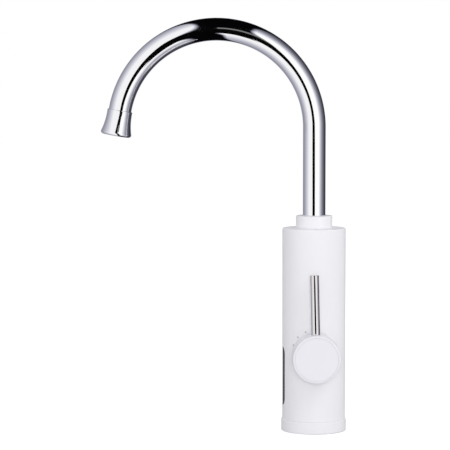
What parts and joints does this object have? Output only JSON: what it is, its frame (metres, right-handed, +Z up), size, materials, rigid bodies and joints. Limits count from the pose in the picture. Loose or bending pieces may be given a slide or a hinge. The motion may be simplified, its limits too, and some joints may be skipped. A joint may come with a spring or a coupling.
{
  "type": "electric instant water heater tap",
  "caption": "Upright white electric instant-heating kitchen tap with a side knob and chromed lever pin, a display window and a swivelling chromed swan-neck spout.",
  "frame": {"origin": "centre of the base's underside, at the mouth of the threaded inlet, on the body's axis", "axes": "+Z up along the body, -X towards the outlet of the spout at rest, -Y towards the knob"},
  "size_m": [0.2264, 0.088, 0.3811],
  "materials": {
    "white_plastic": "glossy white moulding",
    "knob_plastic": "glossy white moulding",
    "chrome": "bright chromed metal",
    "dark_window": "dark tinted acrylic",
    "rubber": "matte black rubber",
    "brass": "machined brass",
    "stainless": "drawn stainless steel",
    "screw_steel": "plated steel",
    "ceramic": "ground ceramic",
    "board": "green circuit board",
    "digits": "dark digit block",
    "black_plastic": "black moulding",
    "grey_plastic": "grey glass-filled moulding",
    "natural_plastic": "natural white moulding",
    "magnet": "plated magnet"
  },
  "bodies": {
    "body": {"body_shell": "white_plastic", "base_cap": "white_plastic", "base_gasket": "rubber", "base_screws": "screw_steel", "cord_gland": "rubber", "terminal_block": "natural_plastic", "display_lens": "dark_window", "display_board": "board", "digit_module": "digits", "valve_body": "brass", "valve_screws": "screw_steel", "inlet_filter": "stainless", "cartridge_seal": "rubber", "fixed_disc": "ceramic", "cartridge_body": "brass", "spigot_ring": "rubber", "reed_switch": "black_plastic", "tank_base": "grey_plastic", "tank_seal": "rubber", "heater_tank": "stainless", "tank_screws": "screw_steel", "heating_element": "stainless", "element_nuts": "brass", "thermal_cutout": "black_plastic", "temperature_probe": "stainless", "spout_collar": "white_plastic", "slip_washer": "natural_plastic"},
    "spout": {"spout_tube": "chrome", "spout_tail": "brass", "spout_rings": "rubber", "nozzle": "chrome", "aerator_washer": "rubber", "aerator_insert": "natural_plastic"},
    "lever": {"knob": "knob_plastic", "knob_cover": "knob_plastic", "knob_screw": "screw_steel", "lever_pin": "chrome", "spindle": "brass", "spindle_ring": "rubber", "moving_disc": "ceramic"},
    "piston": {"flow_piston": "natural_plastic", "piston_magnet": "magnet"}
  },
  "joints": [
    {"name": "spout_swivel", "type": "hinge", "parent": "body", "child": "spout", "pos_m": [0, 0, 0.19], "axis": [0, 0, 1], "continuous": true},
    {"name": "lever_turn", "type": "hinge", "parent": "body", "child": "lever", "pos_m": [0, -0.0455, 0.0726], "axis": [0, -1, 0], "range_deg": [-91.4, 88.6]},
    {"name": "flow_lift", "type": "slide", "parent": "body", "child": "piston", "axis": [0, 0, 1], "range_m": [0, 0.004]}
  ]
}
